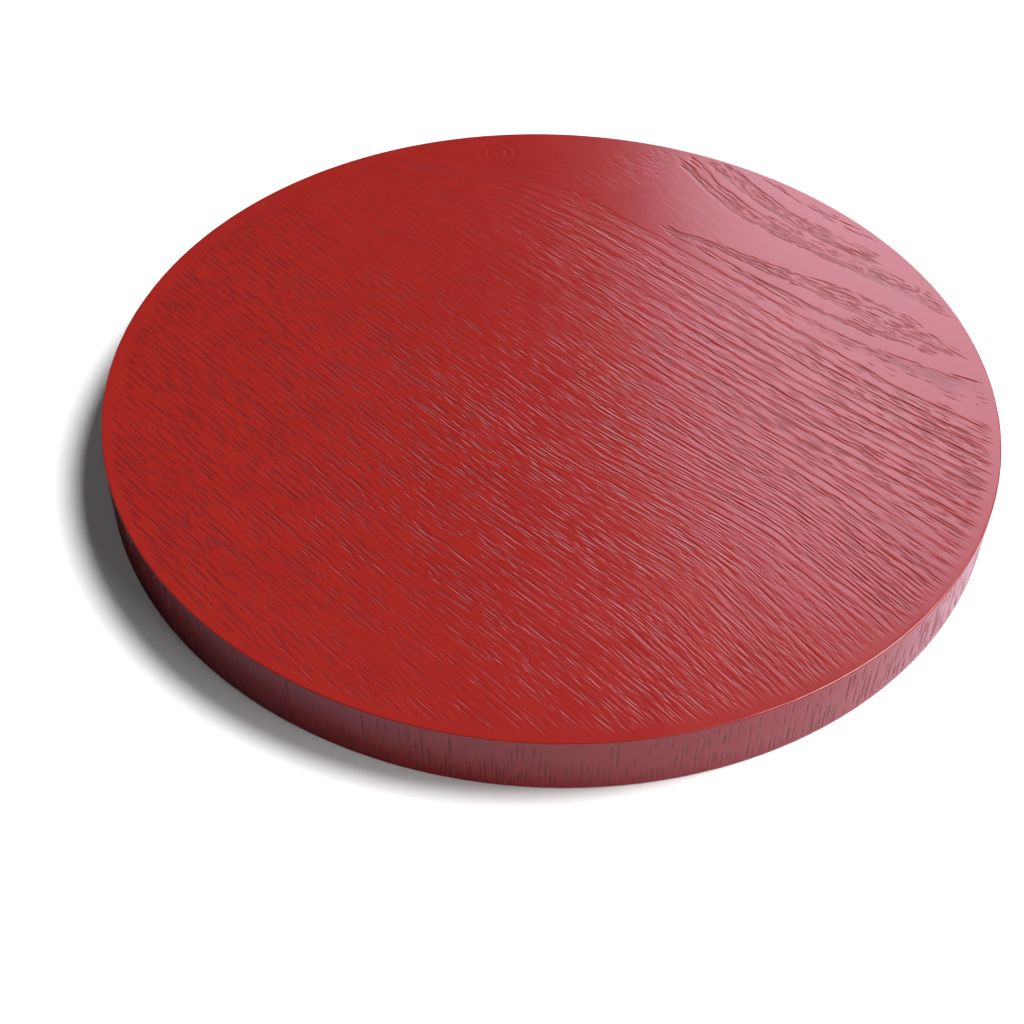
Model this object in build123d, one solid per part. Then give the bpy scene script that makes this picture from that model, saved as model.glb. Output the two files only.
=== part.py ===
from build123d import *
import os

# A round veneered board, such as the top of a stool or small table, lying on its underside.
# Millimetres, +Z up. The origin is the centre of the underside.
#
# A plywood core is covered by a veneer leaf on each face and by upright-grain veneer strips
# round the rim. Threaded inserts in the underside take the screws of a base.

# Driving dimensions of the board
board_diameter = 350.0
board_thickness = 25.0
arris_radius = 0.5
face_veneer_thickness = 0.5
edge_veneer_thickness = 0.6
edge_strip_count = 6
ply_count = 11

# Driving dimensions of the M6 self-tapping inserts
insert_count = 4
insert_circle_diameter = 200.0
insert_length = 14.0
insert_bore_radius = 2.5
insert_crest_radius = 5.0
insert_ridge_height = 0.75
insert_pitch = 1.5
insert_groove_count = 8
insert_collar_length = 1.0
insert_slot_width = 1.5
insert_slot_depth = 3.0
drilled_depth = 16.0

# Sizes that follow from them
board_radius = board_diameter / 2
core_radius = board_radius - edge_veneer_thickness
core_bottom = face_veneer_thickness
core_top = board_thickness - face_veneer_thickness
ply_thickness = (core_top - core_bottom) / ply_count
strip_angle = 360.0 / edge_strip_count
insert_root_radius = insert_crest_radius - insert_ridge_height
groove_half_width = 0.4 * insert_pitch

STANDING = (Align.CENTER, Align.CENTER, Align.MIN)


def disc(radius, bottom, top):
    """A disc about the board's axis, from one height to another."""
    return Pos(0, 0, bottom) * Cylinder(radius, top - bottom, align=STANDING)


def board_outline():
    """The whole board's outer shape, with the arris eased on both faces."""
    blank = disc(board_radius, 0, board_thickness)
    return fillet(blank.edges().filter_by(GeomType.CIRCLE), arris_radius)


def at_each_insert(shape):
    """Copies of a shape at every insert's place, on the diagonals between X and Y."""
    places = PolarLocations(insert_circle_diameter / 2, insert_count, start_angle=180 / insert_count)
    return [place * shape for place in places]


def insert_outside():
    """An insert's outside with no bore: a plain collar, V grooves between ridges, and a tapered end."""
    points = [(0, 0), (insert_crest_radius, 0)]
    for groove in range(insert_groove_count):
        middle = insert_collar_length + (groove + 0.5) * insert_pitch
        points.append((insert_crest_radius, middle - groove_half_width))
        points.append((insert_root_radius, middle))
        points.append((insert_crest_radius, middle + groove_half_width))
    points.append((insert_root_radius, insert_length))
    points.append((0, insert_length))
    return revolve(Plane.XZ * make_face(Polyline(*points, close=True)), Axis.Z)


def threaded_insert():
    """One insert, mouth down, with its bore right through and cutting slots across its inner end."""
    bore = Cylinder(insert_bore_radius, insert_length, align=STANDING)
    slot_bottom = insert_length - insert_slot_depth
    slot = Pos(0, 0, slot_bottom) * Box(
        2 * insert_crest_radius, insert_slot_width, insert_slot_depth, align=STANDING
    )
    return insert_outside() - bore - slot


def insert_cavity():
    """What one insert takes out of the wood: its own outside, and the drilled hole beyond its end."""
    drilled_end = Pos(0, 0, insert_length) * Cylinder(
        insert_root_radius, drilled_depth - insert_length, align=STANDING
    )
    return insert_outside() + drilled_end


def cut_for_inserts(layer):
    """A layer of the board with the inserts' cavities taken out where they reach it."""
    for cavity in at_each_insert(insert_cavity()):
        layer = layer - cavity
    return layer


def top_face_veneer():
    """The upper veneer leaf, which runs out over the rim strips to the eased arris."""
    return disc(board_radius, core_top, board_thickness) & board_outline()


def bottom_face_veneer():
    """The balancing veneer leaf on the underside, open at the inserts."""
    return cut_for_inserts(disc(board_radius, 0, core_bottom) & board_outline())


def core_ply(index):
    """One layer of the plywood core, counted from the bottom."""
    bottom = core_bottom + index * ply_thickness
    layer = disc(core_radius, bottom, bottom + ply_thickness)
    return cut_for_inserts(layer) if bottom < drilled_depth else layer


def edge_veneer_strip(index):
    """One upright-grain strip on the rim, butted against its neighbours and held between the faces."""
    height = core_top - core_bottom
    sector = Cylinder(board_radius, height, arc_size=strip_angle, align=(Align.NONE, Align.NONE, Align.MIN))
    placed = Pos(0, 0, core_bottom) * Rot(0, 0, index * strip_angle) * sector
    return placed - disc(core_radius, core_bottom, core_top)


def board_nodes():
    """Every piece of the board, by name, from the top face down."""
    nodes = {"top_face_veneer": top_face_veneer()}
    for index in reversed(range(ply_count)):
        nodes[f"core_ply_{index + 1:02d}"] = core_ply(index)
    nodes["bottom_face_veneer"] = bottom_face_veneer()
    for index in range(edge_strip_count):
        nodes[f"edge_veneer_strip_{index + 1}"] = edge_veneer_strip(index)
    nodes["threaded_inserts"] = Compound(at_each_insert(threaded_insert()))
    return nodes


os.makedirs("parts", exist_ok=True)
for name, shape in board_nodes().items():
    export_step(shape, f"parts/{name}.step")
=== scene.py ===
import math

import bpy
import numpy as np
from mathutils import Matrix, Vector
from mathutils.geometry import delaunay_2d_cdt


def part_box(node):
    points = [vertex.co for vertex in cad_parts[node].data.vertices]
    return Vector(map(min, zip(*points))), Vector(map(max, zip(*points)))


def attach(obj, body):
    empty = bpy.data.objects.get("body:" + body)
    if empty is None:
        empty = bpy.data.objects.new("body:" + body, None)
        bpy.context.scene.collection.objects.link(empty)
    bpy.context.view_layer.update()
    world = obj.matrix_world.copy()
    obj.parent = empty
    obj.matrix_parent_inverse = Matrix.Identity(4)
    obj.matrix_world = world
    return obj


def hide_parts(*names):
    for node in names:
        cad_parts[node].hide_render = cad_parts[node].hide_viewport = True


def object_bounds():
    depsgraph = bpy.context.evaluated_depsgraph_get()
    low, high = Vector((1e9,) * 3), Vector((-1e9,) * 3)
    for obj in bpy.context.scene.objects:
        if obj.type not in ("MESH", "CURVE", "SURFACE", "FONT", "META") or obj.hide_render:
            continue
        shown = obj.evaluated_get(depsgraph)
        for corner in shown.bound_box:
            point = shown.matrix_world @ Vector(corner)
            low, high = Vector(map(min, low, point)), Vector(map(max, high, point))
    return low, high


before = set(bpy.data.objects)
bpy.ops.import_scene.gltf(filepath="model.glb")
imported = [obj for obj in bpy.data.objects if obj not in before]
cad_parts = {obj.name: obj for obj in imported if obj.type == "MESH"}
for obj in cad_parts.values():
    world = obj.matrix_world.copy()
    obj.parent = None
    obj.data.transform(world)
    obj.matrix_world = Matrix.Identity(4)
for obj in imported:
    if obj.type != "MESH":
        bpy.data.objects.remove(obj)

# A round ash-veneered board in red open-pore lacquer. The face leaves and the rim strips are made again
# here with their pores and growth rings sunk into the surface. Lengths are in metres, and in the wood
# grain's own functions in millimetres: u runs along the grain, v across it.

cad_low, cad_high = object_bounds()

MM = 0.001
BOARD_RADIUS = cad_high.x / MM
BOARD_TOP = cad_high.z / MM
BOARD_BOTTOM = cad_low.z / MM
TOP_LEAF_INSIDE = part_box("top_face_veneer")[0].z / MM
BOTTOM_LEAF_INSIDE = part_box("bottom_face_veneer")[1].z / MM
ARRIS_RADIUS = 0.5
FLAT_RADIUS = BOARD_RADIUS - ARRIS_RADIUS
STRIP_THICKNESS = 0.6
STRIP_COUNT = 6

# Half-widths of the pores, their depths as shares of the depth in a row, and how much gentler the side of
# a pore towards -v is than its other side
PORE_WIDTHS = (0.32, 0.6)
PORE_DEPTHS = (0.55, 1.1)
LEAN = 1.3

# A pore's cross-section is a bell this steep, followed this many half-widths out. Its depth tapers to the
# ends by a sine, of which this part is used
BELL_STEEPNESS = 2.8
BELL_REACH = 2.4
TAPER_PART = (0.06, 0.94)

# How steady the lengths of the pores and the gaps between them are
LENGTH_STEADINESS = 2.2
GAP_STEADINESS = 1.2

# Growth rings are this much narrower or wider than their usual width
RING_SPREAD = (0.72, 1.28)

# Listed lines have their corners eased over this length on both sides
EASED_OVER = 12

# Points on a circle that would lie closer together than this are merged
CLOSEST_ON_CIRCLE = 0.06

# Rings of points that carry a leaf's edge round the arris
ARRIS_STEPS = 6

# Base colours
LACQUER_REDS = ((0.262, 0.0122, 0.0090, 1), (0.282, 0.0134, 0.0098, 1))
# The pores' red: partly the lacquer's own darker colour there, partly painted shade in the grooves
PORE_RED_AND_SHADE = (0.19, 0.0095, 0.0078, 1)
FLOOR_SEEN = (0.95, 0.95, 0.95, 1)
# Painted shade: the floor that the board mirrors and is lit by is darker and bluer than the floor as seen,
# darker again on the side away from the key
FLOOR_MIRRORED_SHADED = ((0.30, 0.31, 0.37, 1), (0.76, 0.77, 0.93, 1))

rng = np.random.default_rng(29)


# ---------------------------------------------------------------- small helpers


def smooth(x):
    """0 below 0, 1 above 1, and an eased step between."""
    x = np.clip(x, 0, 1)
    return x * x * (3 - 2 * x)


def middles(low, high, step):
    """Evenly spaced places from low to high, about a step apart, that keep off both ends."""
    count = round((high - low) / step)
    return low + (np.arange(count) + 0.5) * (high - low) / count


def cloud(u, v, cell_u, cell_v):
    """Soft random hills of about unit height, drawn out along u. The arrays u and v broadcast together."""
    along = (u - u.min()) / cell_u
    across = (v - v.min()) / cell_v
    row = across.astype(int)
    shift = rng.random(row.max() + 2)
    hills = rng.normal(size=(row.max() + 2, int(along.max()) + 3))

    def at(row):
        place = along + shift[row]
        col = place.astype(int)
        part = smooth(place - col)
        return hills[row, col] * (1 - part) + hills[row, col + 1] * part

    part = smooth(across - row)
    return at(row) * (1 - part) + at(row + 1) * part


def about_one(steadiness):
    """A random factor that averages 1, and strays less from it the steadier it is."""
    return rng.gamma(steadiness, 1 / steadiness)


def eased(u, points):
    """A line through listed (u, v) points, with its corners eased."""
    us, vs = zip(*points)
    shifts = np.linspace(-EASED_OVER, EASED_OVER, 7)
    return np.mean([np.interp(u + shift, us, vs) for shift in shifts], axis=0)


# ---------------------------------------------------------------- the grain of one leaf


class Grain:
    """The relief of a veneer leaf: how far each point of a u by v grid is sunk, in millimetres."""

    def __init__(self, u, v, guides, waviness):
        """Lays growth lines between the guides, with some waviness. Vigour is how strong the grain is."""
        self.u = u
        self.v = v
        self.step_v = v[1] - v[0]
        self.depth = np.zeros((len(v), len(u)))
        self.open = np.zeros((len(v), len(u)))
        self.marks = np.arange(min(guides), max(guides) + 0.1, 0.5)
        names = sorted(guides)
        guide = np.array([eased(u, guides[name]) for name in names])
        self.lines = np.array([np.interp(self.marks, names, column) for column in guide.T]).T
        self.lines += waviness * cloud(u, self.marks[:, None], cell_u=24, cell_v=9)
        self.growth = np.array([np.interp(v, column, self.marks) for column in self.lines.T]).T
        self.vigour = np.clip(1 + 0.22 * cloud(u, self.growth, cell_u=24, cell_v=4.5), 0.5, 1.35)

    def line(self, name):
        """v along one growth line."""
        place = (name - self.marks[0]) / (self.marks[1] - self.marks[0])
        row = int(place)
        part = place - row
        return self.lines[row] * (1 - part) + self.lines[row + 1] * part

    def sink(self, amount):
        """Sinks the surface by a broad amount. Pores already there get only part of it on top."""
        self.depth = np.maximum(self.depth, amount) + 0.35 * np.minimum(self.depth, amount)

    def fade(self, share):
        """Leaves only that share of the relief at each point."""
        self.depth *= share
        self.open *= share

    def pore(self, middle, start, length, wide, deep):
        """Sinks one pore: a groove with tapered ends whose middle follows a line."""
        first, last = np.searchsorted(self.u, (start, start + length))
        cols = np.arange(first, last)
        if len(cols) == 0:
            return
        along = np.clip((self.u[cols] - start) / length, *TAPER_PART)
        taper = (np.sin(np.pi * along) ** 0.6)[:, None]
        reach = math.ceil(BELL_REACH * wide / self.step_v)
        nearest = np.round((middle[cols] - self.v[0]) / self.step_v).astype(int)
        rows = nearest[:, None] + np.arange(-reach, reach + 1)
        inside = (rows >= 0) & (rows < len(self.v))
        rows = np.clip(rows, 0, len(self.v) - 1)
        off = (self.v[rows] - middle[cols][:, None]) / (wide * (0.6 + 0.4 * taper))
        off = np.where(off < 0, off / LEAN, off)
        cols = np.broadcast_to(cols[:, None], rows.shape)
        groove = self.vigour[rows, cols] * taper * np.exp(-BELL_STEEPNESS * off**2) * inside
        np.maximum.at(self.depth, (rows, cols), deep * groove)
        np.maximum.at(self.open, (rows, cols), np.clip(min(1, deep / 0.1) * groove, 0, 1))

    def pore_row(self, middle, start, end, cover, mean_length, deep, scatter):
        """Pores end to end along a line, with gaps between them, covering that share of it."""
        u = start + rng.random() * mean_length
        shortest = 1.5
        mean_gap = (mean_length + shortest) * (1 / cover - 1)
        while u < end:
            length = shortest + mean_length * about_one(LENGTH_STEADINESS)
            place = middle + rng.normal() * scatter
            self.pore(place, u, length, rng.uniform(*PORE_WIDTHS), deep * rng.uniform(*PORE_DEPTHS))
            u += length + mean_gap * about_one(GAP_STEADINESS)

    def belt(self, lower, upper, count, mean_length, deep=0.15, crowding=1.6):
        """Pores scattered between two lines, closer together near the lower one if crowding is over 1."""
        low, high = eased(self.u, lower), eased(self.u, upper)
        for _ in range(count):
            part = rng.random() ** crowding
            middle = low + part * (high - low) + 0.15 * rng.normal()
            length = 1 + mean_length * about_one(LENGTH_STEADINESS)
            start = rng.uniform(lower[0][0], lower[-1][0]) - length / 2
            self.pore(middle, start, length, rng.uniform(*PORE_WIDTHS), deep * rng.uniform(*PORE_DEPTHS))

    def rings(self, outermost, innermost, width_at):
        """Growth rings: each starts with rows of pores in sunk early wood and ends in proud late wood."""
        starts = [outermost]
        while starts[-1] > innermost:
            starts.append(starts[-1] - width_at(starts[-1]) * rng.uniform(*RING_SPREAD))
        for start, end in zip(starts, starts[1:]):
            self.ring_pores(start, start - end)
        edges = np.array(starts[::-1])
        index = np.clip(np.searchsorted(edges, self.growth), 1, len(edges) - 1)
        width = edges[index] - edges[index - 1]
        phase = np.clip((edges[index] - self.growth) / width, 0, 1)
        step_width = np.clip(0.25 * width, 0.55, 1.1)
        early_wood_depth = 0.045 + 0.035 * smooth(self.growth / 90)
        amount = early_wood_depth * self.vigour * step_width
        amount = amount * (1 - smooth((phase - 0.3) / 0.65)) * smooth(phase * width / step_width)
        self.sink(amount * (self.growth < outermost))

    def streaks(self, amount):
        """Raised and sunk fibre between the pores, which leaves no flat ground. The amount may vary."""
        fine = cloud(self.u, self.growth, cell_u=4.5, cell_v=0.5)
        coarse = cloud(self.u, self.growth, cell_u=12, cell_v=1.3)
        self.depth += amount * np.clip(2 + (fine + coarse), 0, 4)

    def ring_pores(self, start, width):
        """Rows of pores through one ring, fewer towards its late wood."""
        strength = rng.uniform(0.55, 1.0)
        first, last = self.u[0], self.u[-1]
        near_figure = smooth(start / 90)
        deep = 0.15 + 0.05 * near_figure
        long = 8.5
        crowded = 0.3 + 1.1 * near_figure
        late_wood = 0.85 * width
        inwards = 0.15
        while inwards < late_wood:
            beyond = max(0, inwards - crowded)
            cover = strength * 0.85 * math.exp(-1.6 * beyond / width)
            self.pore_row(self.line(start - inwards), first, last, cover, long, deep, 0.15)
            inwards += rng.uniform(0.45, 0.7)
            long = max(5, 0.92 * long)
            deep *= 0.95

    def bowl(self, line, height, reach):
        """A growth line that opens upwards: a sharp step, then sunk wood with pores that fades above it."""
        middle = eased(self.u, line)
        low, high = reach
        above = self.v[:, None] - middle
        ends = smooth((self.u - low) / 14) * smooth((high - self.u) / 25)
        self.sink(0.06 * smooth(above / 0.7) * (1 - smooth(above / height)) * ends)
        self.pore_row(middle + 0.5, low, high, 0.8, 6, 0.14, 0.2)


# ---------------------------------------------------------------- the top leaf's figure

# Growth lines that steer the others, each named by about its v where u is 0
TOP_GUIDES = {
    -180: [(-180, -180), (180, -180)],
    -90: [(-180, -90), (30, -90), (100, -88), (180, -92)],
    -35: [(-180, -36), (30, -35), (105, -28), (180, -42)],
    -10: [(-180, -10), (26, -10), (60, -6), (108, 2), (156, -2), (180, -6)],
    20: [(-180, 22), (26, 20), (110, 24), (155, 20), (180, 18)],
    50: [(-180, 47), (-132, 49), (-60, 50), (0, 50), (80, 54), (120, 58), (180, 63)],
    66: [(-180, 42), (-150, 51), (-124, 58), (-76, 64), (0, 66.5), (80, 70), (120, 74), (180, 80)],
    83: [(-180, 44), (-141, 63), (-100, 76.5), (-60, 82), (0, 83.5), (72, 86), (120, 90), (180, 97)],
    97.4: [(-180, 50), (-132, 73), (-96, 89.5), (-48, 96), (36, 98.4), (96, 100), (119, 104), (180, 115)],
    103: [(-180, 58), (-132, 80), (-84, 100), (-12, 103), (60, 107.3), (84, 114), (108, 123), (140, 134)],
    139.7: [(-180, 230), (-90, 164), (-67, 150), (-32, 139), (-12, 139), (36, 144.6), (78, 149), (140, 156)],
    150.7: [(-180, 250), (-90, 178), (-67, 163), (-36, 154), (-6, 151), (18, 152), (60, 159), (140, 170)],
    200: [(-180, 300), (0, 200), (180, 215)],
}


def top_ring_width(name):
    """Rings are wide beside the cathedral figure and narrow away from it."""
    return 2.75 + 2.7 * smooth((name - 5) / 95)


def raised(line, height):
    """A listed line moved across the grain."""
    return [(u, v + height) for u, v in line]


def cut_short(line, low, high):
    """The part of a listed line between two places along the grain."""
    inner = [u for u, _ in line if low < u < high]
    return [(u, float(np.interp(u, *zip(*line)))) for u in (low, *inner, high)]


def add_lens(grain):
    """A closed figure: belts of pores round a smooth eye."""
    eye_floor = [(-38, 107.5), (-14, 114), (19, 117.5), (36, 121.2), (58, 122.5), (98, 131)]
    eye_ceiling = [(-38, 109), (-13, 118.5), (12, 123), (36, 132), (66, 138), (98, 136)]
    grain.belt(eye_floor, eye_ceiling, 330, 4.5)
    near_end = [(57, 117), (73, 118.5), (84, 122), (92, 126)]
    grain.belt(near_end, raised(near_end, 6), 80, 3)
    middle_line = [(-8, 109.4), (13, 109.6), (52, 113), (70, 117)]
    grain.belt(middle_line, raised(middle_line, 2), 46, 9)
    far_line = [(-40, 106.3), (-22, 108.2), (13, 107.6), (36, 108.6)]
    grain.belt(far_line, raised(far_line, 2.3), 22, 7)


def add_tip(grain):
    """The wedge of pores where the outermost ring splits in two."""
    wedge_floor = [(52, 103.6), (64, 105.3), (82, 107.9), (111, 112)]
    wedge_ceiling = [(52, 106.4), (72, 110.3), (84, 113.9), (96, 118.8), (111, 124)]
    grain.belt(wedge_floor, wedge_ceiling, 110, 5, deep=0.11, crowding=1)
    grain.belt([(88, 109), (112, 111)], [(88, 114.5), (112, 122)], 130, 3, deep=0.11, crowding=1)


def add_bowls(grain):
    """The two rings of the cathedral figure that end at the board's edge, and a trace of a third."""
    low_bowl, high_bowl = TOP_GUIDES[139.7], TOP_GUIDES[150.7]
    for line, height, reach, count in ((low_bowl, 9.5, (-66, 80), 420), (high_bowl, 8, (-57, 38), 240)):
        part = cut_short(line, *reach)
        grain.belt(part, raised(part, height), count, 4.5)
        grain.bowl(line, height, reach)
    grain.belt([(-30, 168), (0, 166), (40, 169)], [(-30, 172), (0, 170), (40, 173)], 30, 6)


def add_knot(grain):
    """A small knot near the edge: a sunk heart and two rings round it."""
    away = np.hypot(grain.u + 129.6, grain.v[:, None] - 94)
    for radius, width, deep in ((0, 1.5, 0.14), (4.4, 0.9, 0.11), (8.2, 1.2, 0.07)):
        grain.sink(deep * np.exp(-(((away - radius) / width) ** 2)))


def add_ridge(grain):
    """The ridge that leaves the knot: wood sunk on both sides of a line."""
    ridge = eased(grain.u, [(-129, 82), (-121.6, 91), (-114.4, 96.7), (-108, 101.5), (-98, 107)])
    along = smooth((grain.u + 129) / 6) * smooth((-96 - grain.u) / 8)
    off = grain.v[:, None] - ridge
    for middle in (-2.2, 2.2):
        grain.sink(0.05 * along * np.exp(-(((off - middle) / 1.1) ** 2)))


def add_curls(grain):
    """The patch of short shallow pores beyond the knot."""
    patches = ((-88, 112, 8, 6, 90), (-82, 132, 6, 9, 80), (-99, 108, 7, 5, 50))
    for patch_u, patch_v, spread_u, spread_v, count in patches:
        for _ in range(count):
            middle = patch_v + spread_v * rng.normal() + 0.25 * (grain.u - patch_u)
            start = patch_u + spread_u * rng.normal()
            length, deep = rng.uniform(2.5, 5), rng.uniform(0.02, 0.045)
            grain.pore(middle, start, length, rng.uniform(*PORE_WIDTHS), deep)


def fade_at_rim(grain):
    """The sanded margin: the relief dies out towards the arris, sooner at the ends of the grain."""
    radius = np.hypot(grain.u, grain.v[:, None])
    margin = 3 + 4.5 * smooth((np.abs(grain.u) / BOARD_RADIUS - 0.3) / 0.6)
    plain_beyond = FLAT_RADIUS - 0.9
    grain.fade(smooth((plain_beyond - radius) / margin))


def top_grain():
    """The leaf on top. Towards the near end its relief is stronger by the figure, and weaker away from it."""
    u = middles(-BOARD_RADIUS, BOARD_RADIUS, 1.0)
    v = middles(-BOARD_RADIUS, BOARD_RADIUS, 0.2)
    grain = Grain(u, v, TOP_GUIDES, 0.16)
    near_figure = smooth((grain.growth + 60) / 100)
    near_end = smooth((u + 30) / 130)
    share = (1.25 - 0.65 * near_end) * (1 - near_figure) + (0.5 + 0.65 * near_end) * near_figure
    grain.vigour *= share + (1 - share) * smooth((grain.growth - 100) / 6)
    grain.rings(103, -178, top_ring_width)
    add_lens(grain)
    add_tip(grain)
    add_bowls(grain)
    add_knot(grain)
    add_ridge(grain)
    add_curls(grain)
    grain.streaks(0.004 + 0.008 * smooth((103 - grain.growth) / 2))
    fade_at_rim(grain)
    return grain


def bottom_grain():
    """The balancing leaf: plainer, straighter wood."""
    u = middles(-BOARD_RADIUS, BOARD_RADIUS, 1.4)
    v = middles(-BOARD_RADIUS, BOARD_RADIUS, 0.4)
    guides = {
        -200: [(-180, -200), (180, -200)],
        -60: [(-180, -66), (0, -60), (180, -68)],
        60: [(-180, 50), (0, 60), (180, 54)],
        200: [(-180, 190), (0, 200), (180, 196)],
    }
    grain = Grain(u, v, guides, 0.5)
    grain.rings(195, -190, lambda name: 3.6 + 1.6 * math.sin(name / 40))
    fade_at_rim(grain)
    return grain


def rim_grain(arc_length, height):
    """An upright-grained strip: u is the height up the rim, v the way along it."""
    u = middles(0, height, 0.8)
    v = middles(0, arc_length, 0.2)
    beyond = arc_length + 20
    guides = {-20: [(0, -20), (height, -20)], beyond: [(0, beyond + 0.4), (height, beyond)]}
    grain = Grain(u, v, guides, 0.3)
    place = -1.0
    while place < arc_length + 1:
        grain.pore_row(grain.line(place), -4, height, rng.uniform(0.2, 0.6), 8, 0.24, 0.1)
        place += rng.uniform(0.9, 2.5)
    grain.streaks(0.006)
    plain_end, plain_side = 0.6, 0.3
    ends = smooth((u - plain_end) / 1.6) * smooth((height - plain_end - u) / 1.6)
    sides = smooth((v - plain_side) / 0.8) * smooth((arc_length - plain_side - v) / 0.8)
    grain.fade(ends * sides[:, None])
    return grain


# ---------------------------------------------------------------- meshes


def solid_mesh(name, points, triangles, grain_places, openness):
    """A smooth-shaded object from arrays in millimetres, which keeps its grain coordinates and open pores."""
    mesh = bpy.data.meshes.new(name)
    mesh.from_pydata(points * MM, [], triangles)
    grain = mesh.attributes.new("grain", "FLOAT_VECTOR", "POINT")
    grain.data.foreach_set("vector", (grain_places * MM).ravel())
    mesh.attributes.new("pore", "FLOAT", "POINT").data.foreach_set("value", openness)
    mesh.shade_smooth()
    mesh.set_sharp_from_angle(angle=math.radians(60))
    piece = bpy.data.objects.new(name, mesh)
    bpy.context.scene.collection.objects.link(piece)
    return piece


def grid_quads(rows, cols):
    """The cells of a grid whose points are numbered row by row."""
    corner = (np.arange(rows - 1)[:, None] * cols + np.arange(cols - 1)).ravel()
    return np.stack([corner, corner + 1, corner + cols + 1, corner + cols], axis=1)


def split(quads):
    """Quads cut into triangles, leaving out the ones that have shrunk to a line."""
    triangles = np.concatenate([quads[:, [0, 1, 2]], quads[:, [0, 2, 3]]])
    a, b, c = triangles.T
    return triangles[(a != b) & (b != c) & (c != a)]


def band(upper, lower):
    """Quads between two loops of the same length, facing outwards when the loops run counter-clockwise."""
    return np.stack([np.roll(upper, -1), upper, lower, np.roll(lower, -1)], axis=1)


def cut_off_by(u, v, circles):
    """Which circle cuts off each point, or -1. Only the first circle, the outline, keeps what is inside."""
    number_of = np.full(len(u), -1)
    for number, (centre_u, centre_v, radius) in enumerate(circles):
        away = np.hypot(u - centre_u, v - centre_v)
        number_of[(away > radius) if number == 0 else (away < radius)] = number
    return number_of


def pull_to_circle(u, v, members, circle):
    """Moves some points onto a circle. Gives them in the order of their angles, with the angles."""
    centre_u, centre_v, radius = circle
    angle = np.arctan2(v[members] - centre_v, u[members] - centre_u)
    u[members] = centre_u + radius * np.cos(angle)
    v[members] = centre_v + radius * np.sin(angle)
    order = np.argsort(angle)
    return members[order], angle[order]


def thinned(members, angle, radius, stands_for):
    """The loop of points left on a circle when each one too close to the last is merged with it."""
    loop = [members[0]]
    last_angle = angle[0]
    for member, place in zip(members[1:], angle[1:]):
        if (place - last_angle) * radius < CLOSEST_ON_CIRCLE:
            stands_for[member] = loop[-1]
        else:
            loop.append(member)
            last_angle = place
    return np.array(loop)


def trimmed_face(grain, circles):
    """A grain's grid cut to its outline and holes: the points used, their u and v, quads, and edge loops."""
    count_v, count_u = grain.depth.shape
    u, v = (axis.ravel() for axis in np.meshgrid(grain.u, grain.v))
    cut_by = cut_off_by(u, v, circles)
    quads = grid_quads(count_v, count_u)
    quads = quads[(cut_by[quads] < 0).any(axis=1)]
    corners = np.unique(quads)
    stands_for = np.arange(len(u))
    loops = []
    for number, circle in enumerate(circles):
        members, angle = pull_to_circle(u, v, corners[cut_by[corners] == number], circle)
        loops.append(thinned(members, angle, circle[2], stands_for))
    quads = stands_for[quads]
    used = np.unique(quads)
    new_number = np.full(len(u), -1)
    new_number[used] = np.arange(len(used))
    return used, u[used], v[used], new_number[quads], [new_number[loop] for loop in loops]


def leaf_edge(face_z, inside_z, side):
    """Radius and height of the rings that carry a leaf's edge round the arris, from the face inwards."""
    centre_z = face_z - side * ARRIS_RADIUS
    last = math.asin((inside_z - centre_z) * side / ARRIS_RADIUS)
    for step in range(1, ARRIS_STEPS + 1):
        turn = math.pi / 2 + (last - math.pi / 2) * step / ARRIS_STEPS
        yield FLAT_RADIUS + ARRIS_RADIUS * math.cos(turn), centre_z + side * ARRIS_RADIUS * math.sin(turn)


def add_wall(points, faces, loop, circle, rings):
    """Carries a loop of the face down through rings of some radius and height. Gives the last ring."""
    centre_u, centre_v, _ = circle
    angle = np.arctan2(points[0][loop, 1] - centre_v, points[0][loop, 0] - centre_u)
    for radius, z in rings:
        lower = sum(len(part) for part in points) + np.arange(len(loop))
        ring = [centre_u + radius * np.cos(angle), centre_v + radius * np.sin(angle), np.full(len(loop), z)]
        points.append(np.stack(ring, axis=1))
        faces.append(band(loop, lower))
        loop = lower
    return loop


def inside_face(points, loops, holes):
    """Triangles that close a leaf's glued face, leaving its holes open."""
    rim = np.concatenate(loops)
    all_triangles, tolerance, just_inside = 0, 1e-6, 0.98
    made = delaunay_2d_cdt([Vector(points[i, :2]) for i in rim], [], [], all_triangles, tolerance)
    corners, sources = made[0], made[3]
    number = [rim[source[0]] for source in sources]
    kept = []
    for face in made[2]:
        centre_u, centre_v = sum((corners[i] for i in face), Vector((0, 0))) / 3
        if all(math.hypot(centre_u - u, centre_v - v) > just_inside * radius for u, v, radius in holes):
            kept.append([number[i] for i in reversed(face)])
    return np.array(kept)


def leaf_piece(name, grain, face_z, inside_z, holes):
    """A closed veneer leaf. Its face carries the relief, its edge is the arris, and its holes go through."""
    side = math.copysign(1, face_z - inside_z)
    circles = [(0, 0, FLAT_RADIUS), *holes]
    used, u, v, quads, loops = trimmed_face(grain, circles)
    points = [np.stack([u, v, face_z - side * grain.depth.ravel()[used]], axis=1)]
    faces = [quads]
    glued_loops = [add_wall(points, faces, loops[0], circles[0], leaf_edge(face_z, inside_z, side))]
    for loop, circle in zip(loops[1:], holes):
        glued_loops.append(add_wall(points, faces, loop[::-1], circle, [(circle[2], inside_z)]))
    points = np.concatenate(points)
    triangles = np.concatenate([split(np.concatenate(faces)), inside_face(points, glued_loops, holes)])
    if side < 0:
        triangles = triangles[:, ::-1]
    openness = np.zeros(len(points))
    openness[: len(used)] = grain.open.ravel()[used]
    return solid_mesh(name, from_grain_to_board(points), triangles, points, openness)


def from_grain_to_board(points):
    """Points turned from the grain's directions to X and Y: the grain runs from -X +Y to +X -Y."""
    along, across, z = points.T
    diagonal = math.sqrt(0.5)
    return np.stack([(along + across) * diagonal, (across - along) * diagonal, z], axis=1)


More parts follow.
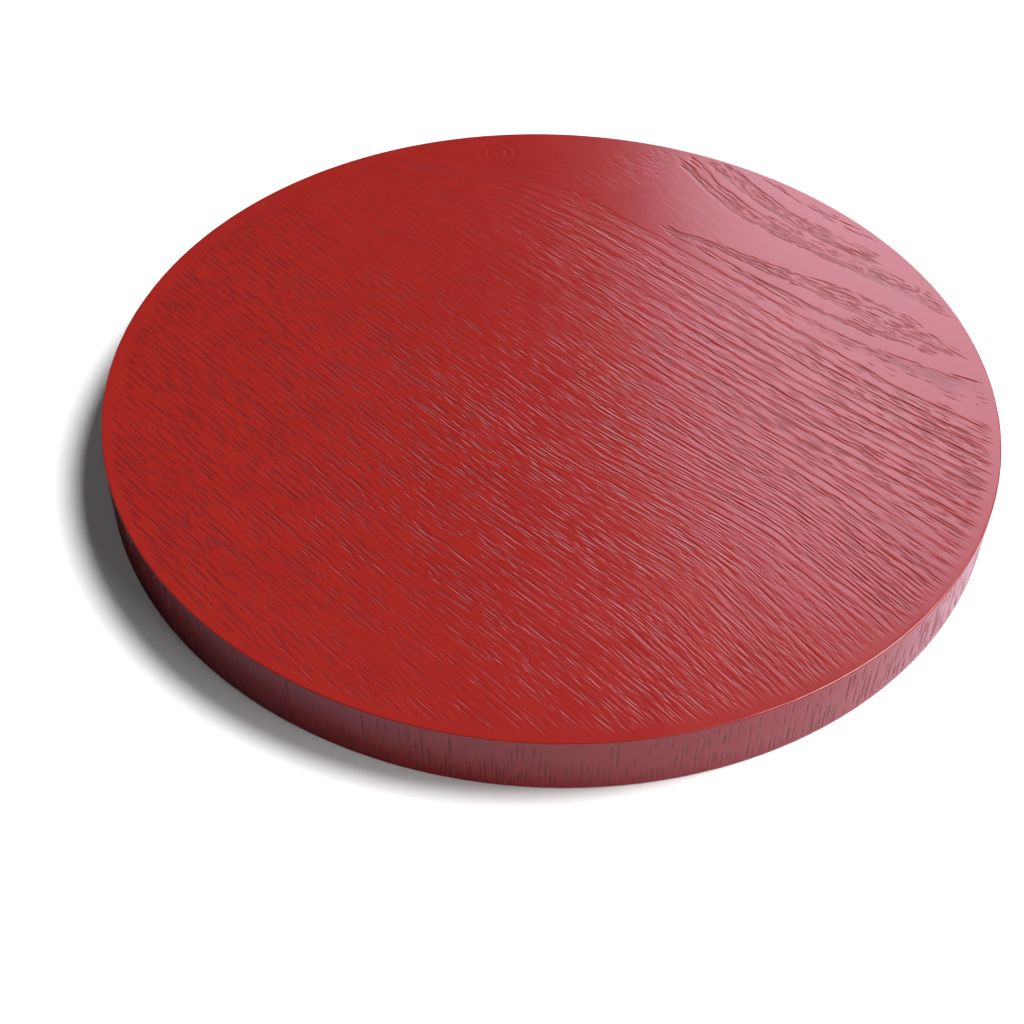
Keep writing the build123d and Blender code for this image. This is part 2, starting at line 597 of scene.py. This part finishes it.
def strip_section(grain, low, high):
    """A strip's cross-section, upwards on the outside: radius and height at each point, with no relief."""
    z = np.concatenate([[low, low], low + grain.u, [high, high]])
    radius = np.full(len(z), BOARD_RADIUS)
    radius[[0, -1]] = BOARD_RADIUS - STRIP_THICKNESS
    return radius, z


def strip_triangles(sections, count):
    """The skin round a row of cross-sections of so many points each, and a cap at both ends."""
    first, around = np.arange(sections - 1)[:, None] * count, np.arange(count)
    near, near_next = first + around, first + np.roll(around, -1)
    quads = np.stack([near, near + count, near_next + count, near_next], axis=2).reshape(-1, 4)
    cap = np.array([[0, i, i + 1] for i in range(1, count - 1)])
    far_cap = cap[:, ::-1] + (sections - 1) * count
    return np.concatenate([split(quads), cap, far_cap])


def strip_piece(name, index):
    """One rim strip as a closed solid, with its relief on the outside."""
    span = 2 * math.pi / STRIP_COUNT
    low, high = BOTTOM_LEAF_INSIDE, TOP_LEAF_INSIDE
    grain = rim_grain(span * BOARD_RADIUS, high - low)
    angle = index * span + np.concatenate([[0], grain.v / BOARD_RADIUS, [span]])[:, None]
    section_radius, z = strip_section(grain, low, high)
    # One plain section at either end of the strip, and two plain points at either end of each section
    margins = ((1, 1), (2, 2))
    radius = section_radius - np.pad(grain.depth, margins)
    z = np.broadcast_to(z, radius.shape)
    points = np.stack([radius * np.cos(angle), radius * np.sin(angle), z], axis=2)
    places = np.stack([z, np.broadcast_to(angle * BOARD_RADIUS, radius.shape), np.zeros_like(radius)], axis=2)
    triangles = strip_triangles(*radius.shape)
    openness = np.pad(grain.open, margins).ravel()
    return solid_mesh(name, points.reshape(-1, 3), triangles, places.reshape(-1, 3), openness)


# ---------------------------------------------------------------- materials


def new_material(name):
    """A material with a Principled shader, and a function that adds nodes to it."""
    material = bpy.data.materials.new(name)
    material.use_nodes = True
    tree = material.node_tree
    shader = tree.nodes["Principled BSDF"]

    def node(kind, inputs=None, **settings):
        made = tree.nodes.new(kind)
        for key, value in settings.items():
            setattr(made, key, value)
        for key, value in (inputs or {}).items():
            if isinstance(value, bpy.types.NodeSocket):
                tree.links.new(value, made.inputs[key])
            else:
                made.inputs[key].default_value = value
        return made

    return material, shader, node, tree.links.new


def mixed(node, share, first, second):
    """A mix of two colours, each of them a node's socket or a fixed colour."""
    return node("ShaderNodeMix", {"Factor": share, 6: first, 7: second}, data_type="RGBA").outputs[2]


def ramped(node, share, *stops):
    """A ramp between two colours, each given after its position."""
    ramp = node("ShaderNodeValToRGB", {"Fac": share})
    for element, (position, colour) in zip(ramp.color_ramp.elements, stops):
        element.position = position
        element.color = colour
    return ramp.outputs["Color"]


def red_lacquer():
    """Red satin lacquer over open pores: darker and rougher in the pores, with a faint brushed texture. The
    pores' darker red is partly their own colour and partly painted shade in the grooves.
    """
    material, shader, node, link = new_material("red_lacquer_on_ash")
    pore = node("ShaderNodeAttribute", attribute_name="pore").outputs["Fac"]
    grain = node("ShaderNodeAttribute", attribute_name="grain").outputs["Vector"]
    sunk = node("ShaderNodeMapRange", {"Value": pore, "From Min": 0.15, "From Max": 0.75}).outputs["Result"]
    drawn_out = node("ShaderNodeVectorMath", {0: grain, 1: (90, 1500, 1500)}, operation="MULTIPLY").outputs[0]
    streak = node("ShaderNodeTexNoise", {"Vector": drawn_out, "Scale": 1.0, "Detail": 3.0}).outputs["Fac"]
    blotch = node("ShaderNodeTexNoise", {"Vector": grain, "Scale": 60.0, "Detail": 2.0}).outputs["Fac"]
    peel = node("ShaderNodeTexNoise", {"Vector": grain, "Scale": 700.0, "Detail": 2.0}).outputs["Fac"]
    tone = node("ShaderNodeMapRange", {"Value": blotch, "From Min": 0.3, "From Max": 0.7}).outputs["Result"]
    face = mixed(node, tone, *LACQUER_REDS)
    # The pores take the darker red: partly their own colour, partly painted shade in the grooves
    link(mixed(node, sunk, face, PORE_RED_AND_SHADE), shader.inputs["Base Color"])
    rough = node("ShaderNodeMath", {0: sunk, 1: 0.1, 2: 0.22}, operation="MULTIPLY_ADD").outputs[0]
    rough_noise = node("ShaderNodeMath", {0: blotch, 1: 0.06, 2: -0.03}, operation="MULTIPLY_ADD").outputs[0]
    roughness = node("ShaderNodeMath", {0: rough, 1: rough_noise}, operation="ADD").outputs[0]
    link(roughness, shader.inputs["Roughness"])
    brushed = node("ShaderNodeBump", {"Strength": 0.25, "Distance": 0.00003, "Height": streak}).outputs[0]
    orange_peel = {"Strength": 0.25, "Distance": 0.00004, "Height": peel, "Normal": brushed}
    link(node("ShaderNodeBump", orange_peel).outputs[0], shader.inputs["Normal"])
    shader.inputs["IOR"].default_value = 1.5
    return material


def ply_wood(name, across):
    """Pale unfinished core veneer, its grain along X, or across it along Y."""
    material, shader, node, link = new_material(name)
    place = node("ShaderNodeTexCoord").outputs["Object"]
    stretch = (400, 30, 60) if across else (30, 400, 60)
    scaled = node("ShaderNodeVectorMath", {0: place, 1: stretch}, operation="MULTIPLY").outputs[0]
    fibre = node("ShaderNodeTexNoise", {"Vector": scaled, "Scale": 1.0, "Detail": 6.0}).outputs["Fac"]
    colour = ramped(node, fibre, (0.35, (0.40, 0.25, 0.12, 1)), (0.68, (0.62, 0.45, 0.26, 1)))
    link(colour, shader.inputs["Base Color"])
    rough = node("ShaderNodeMapRange", {"Value": fibre, "To Min": 0.6, "To Max": 0.8})
    link(rough.outputs["Result"], shader.inputs["Roughness"])
    bump = node("ShaderNodeBump", {"Strength": 0.4, "Distance": 0.0001, "Height": fibre})
    link(bump.outputs[0], shader.inputs["Normal"])
    return material


def turned_brass():
    """Brass from the lathe: fine rings and slight tarnish."""
    material, shader, node, link = new_material("turned_brass")
    place = node("ShaderNodeTexCoord").outputs["Object"]
    scaled = node("ShaderNodeVectorMath", {0: place, 1: (60, 60, 4000)}, operation="MULTIPLY").outputs[0]
    turning = node("ShaderNodeTexNoise", {"Vector": scaled, "Scale": 1.0, "Detail": 4.0}).outputs["Fac"]
    tarnish = node("ShaderNodeTexNoise", {"Vector": place, "Scale": 350.0, "Detail": 5.0}).outputs["Fac"]
    colour = ramped(node, tarnish, (0.3, (0.52, 0.34, 0.12, 1)), (0.65, (0.78, 0.58, 0.27, 1)))
    link(colour, shader.inputs["Base Color"])
    rough = node("ShaderNodeMapRange", {"Value": turning, "To Min": 0.22, "To Max": 0.42})
    link(rough.outputs["Result"], shader.inputs["Roughness"])
    bump = node("ShaderNodeBump", {"Strength": 0.3, "Distance": 0.00003, "Height": turning})
    link(bump.outputs[0], shader.inputs["Normal"])
    shader.inputs["Metallic"].default_value = 1.0
    return material


def wear(obj, material):
    """Gives a CAD node or a new piece its only material."""
    obj.data.materials.clear()
    obj.data.materials.append(material)


# ---------------------------------------------------------------- the board's pieces


def insert_holes():
    """Where the inserts come through the bottom leaf, in the grain's directions, with their radius."""
    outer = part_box("threaded_inserts")[1].x / MM
    collar_radius = 5.0
    place = (outer - collar_radius) * math.sqrt(2)
    return [(u, v, collar_radius) for u, v in ((place, 0), (0, place), (-place, 0), (0, -place))]


def add_leaves(lacquer):
    """The top and bottom leaves, in place of the plain ones."""
    top = leaf_piece("top_leaf", top_grain(), BOARD_TOP, TOP_LEAF_INSIDE, [])
    bottom = leaf_piece("bottom_leaf", bottom_grain(), BOARD_BOTTOM, BOTTOM_LEAF_INSIDE, insert_holes())
    for leaf, node in ((top, "top_face_veneer"), (bottom, "bottom_face_veneer")):
        wear(leaf, lacquer)
        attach(leaf, "root")
        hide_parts(node)


def add_strips(lacquer):
    """The rim strips, in place of the plain ones."""
    for index in range(STRIP_COUNT):
        strip = strip_piece(f"rim_strip_{index + 1}", index)
        wear(strip, lacquer)
        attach(strip, "root")
        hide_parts(f"edge_veneer_strip_{index + 1}")


def finish_cad_nodes():
    """Plywood and brass for the nodes that keep their shape. The grain of each ply crosses the next."""
    along = ply_wood("ply_grain_along_x", False)
    across = ply_wood("ply_grain_along_y", True)
    for name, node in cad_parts.items():
        if name.startswith("core_ply_"):
            wear(node, along if int(name[-2:]) % 2 else across)
    wear(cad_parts["threaded_inserts"], turned_brass())


# ---------------------------------------------------------------- the studio


def stand(obj, place, back, roll):
    """Puts an object at a place, looking away from the direction back and rolled about it."""
    right = Vector((0, 0, 1)).cross(back).normalized()
    turn = Matrix((right, back.cross(right), back)).transposed() @ Matrix.Rotation(roll, 3, "Z")
    obj.matrix_world = Matrix.Translation(place) @ turn.to_4x4()


def add_floor():
    """A pale floor, seen white. The board mirrors it, and takes bounce light from it, darker and bluer, and
    darkest on the side away from the key: painted shade on the floor.
    """
    reach = 12.0
    clearance = 0.0001
    corners = [(-reach, -reach), (reach, -reach), (reach, reach), (-reach, reach)]
    mesh = bpy.data.meshes.new("floor")
    mesh.from_pydata([(x, y, cad_low.z - clearance) for x, y in corners], [], [(0, 1, 2, 3)])
    floor = bpy.data.objects.new("floor", mesh)
    bpy.context.scene.collection.objects.link(floor)
    material, shader, node, link = new_material("pale_floor")
    place = node("ShaderNodeTexCoord").outputs["Object"]
    x = node("ShaderNodeSeparateXYZ", {"Vector": place}).outputs["X"]
    rightwards = node("ShaderNodeMapRange", {"Value": x, "From Min": -0.2, "From Max": 0.2}).outputs["Result"]
    # Painted shade: darker and bluer for the board's reflections and bounce, darkest on the side away from
    # the key
    mirrored = mixed(node, rightwards, *FLOOR_MIRRORED_SHADED)
    seen = node("ShaderNodeLightPath").outputs["Is Camera Ray"]
    link(mixed(node, seen, mirrored, FLOOR_SEEN), shader.inputs["Base Color"])
    # Painted light: the floor glows a little where the camera sees it, which lightens its shadow
    glow = node("ShaderNodeMath", {0: seen, 1: 0.05}, operation="MULTIPLY").outputs[0]
    link(glow, shader.inputs["Emission Strength"])
    shader.inputs["Emission Color"].default_value = (1, 1, 1, 1)
    shader.inputs["Roughness"].default_value = 0.9
    shader.inputs["Specular IOR Level"].default_value = 0.1
    wear(floor, material)


def add_light(name, kind, energy, azimuth, elevation, distance=2.0, roll=0, colour=(1, 1, 1), **settings):
    """A light pointed at the board, which the camera can't see.

    Azimuth, counter-clockwise from +X, elevation and roll are in degrees.
    """
    data = bpy.data.lights.new(name, kind)
    data.energy = energy
    data.color = colour
    for key, value in settings.items():
        setattr(data, key, value)
    light = bpy.data.objects.new(name, data)
    bpy.context.scene.collection.objects.link(light)
    a, e = math.radians(azimuth), math.radians(elevation)
    back = Vector((math.cos(a) * math.cos(e), math.sin(a) * math.cos(e), math.sin(e)))
    stand(light, distance * back, back, math.radians(roll))
    light.visible_camera = False
    return light


def add_lights():
    """A soft key from the right, a low fill, and a tall leaning soft box that the lacquer mirrors.

    The lacquer doesn't mirror the fill, which from low behind would whiten half the top.
    """
    add_light("key", "SUN", energy=4.75, azimuth=20, elevation=54, angle=math.radians(28))
    fill = add_light("fill", "SUN", energy=1.75, azimuth=330, elevation=18, angle=math.radians(40))
    fill.visible_glossy = False
    place = {"azimuth": 68.3, "elevation": 32.5, "distance": 1.5, "roll": 23.5}
    tall = {"shape": "RECTANGLE", "size": 0.565, "size_y": 0.88}
    lilac = (0.88, 0.8, 0.98)
    soft_box = add_light("soft_box", "AREA", energy=7.95, colour=lilac, **place, **tall)
    soft_box.visible_diffuse = False


def add_world():
    """A nearly dark room, which the camera sees as white."""
    world = bpy.data.worlds.new("studio")
    bpy.context.scene.world = world
    world.use_nodes = True
    tree = world.node_tree
    tree.nodes["Background"].inputs["Color"].default_value = (0.9, 0.93, 1, 1)
    tree.nodes["Background"].inputs["Strength"].default_value = 0.035
    seen = tree.nodes.new("ShaderNodeBackground")
    seen.inputs["Color"].default_value = (1, 1, 1, 1)
    path = tree.nodes.new("ShaderNodeLightPath")
    mix = tree.nodes.new("ShaderNodeMixShader")
    tree.links.new(path.outputs["Is Camera Ray"], mix.inputs[0])
    tree.links.new(tree.nodes["Background"].outputs[0], mix.inputs[1])
    tree.links.new(seen.outputs[0], mix.inputs[2])
    tree.links.new(mix.outputs[0], tree.nodes["World Output"].inputs["Surface"])


def add_camera():
    """The photograph's viewpoint, in board radii from the board's centre, tilted down and rolled a little."""
    data = bpy.data.cameras.new("camera")
    data.lens = 59.63
    data.sensor_width = 36
    camera = bpy.data.objects.new("camera", data)
    bpy.context.scene.collection.objects.link(camera)
    down, roll = math.radians(45.93), math.radians(1.42)
    place = Vector((-0.082, -2.873, 2.690)) * BOARD_RADIUS * MM
    stand(camera, place, Vector((0, -math.cos(down), math.sin(down))), roll)
    bpy.context.scene.camera = camera


lacquer = red_lacquer()
add_leaves(lacquer)
add_strips(lacquer)
finish_cad_nodes()
add_floor()
add_lights()
add_world()
add_camera()
bpy.context.scene.view_settings.view_transform = "Standard"
bpy.context.view_layer.update()
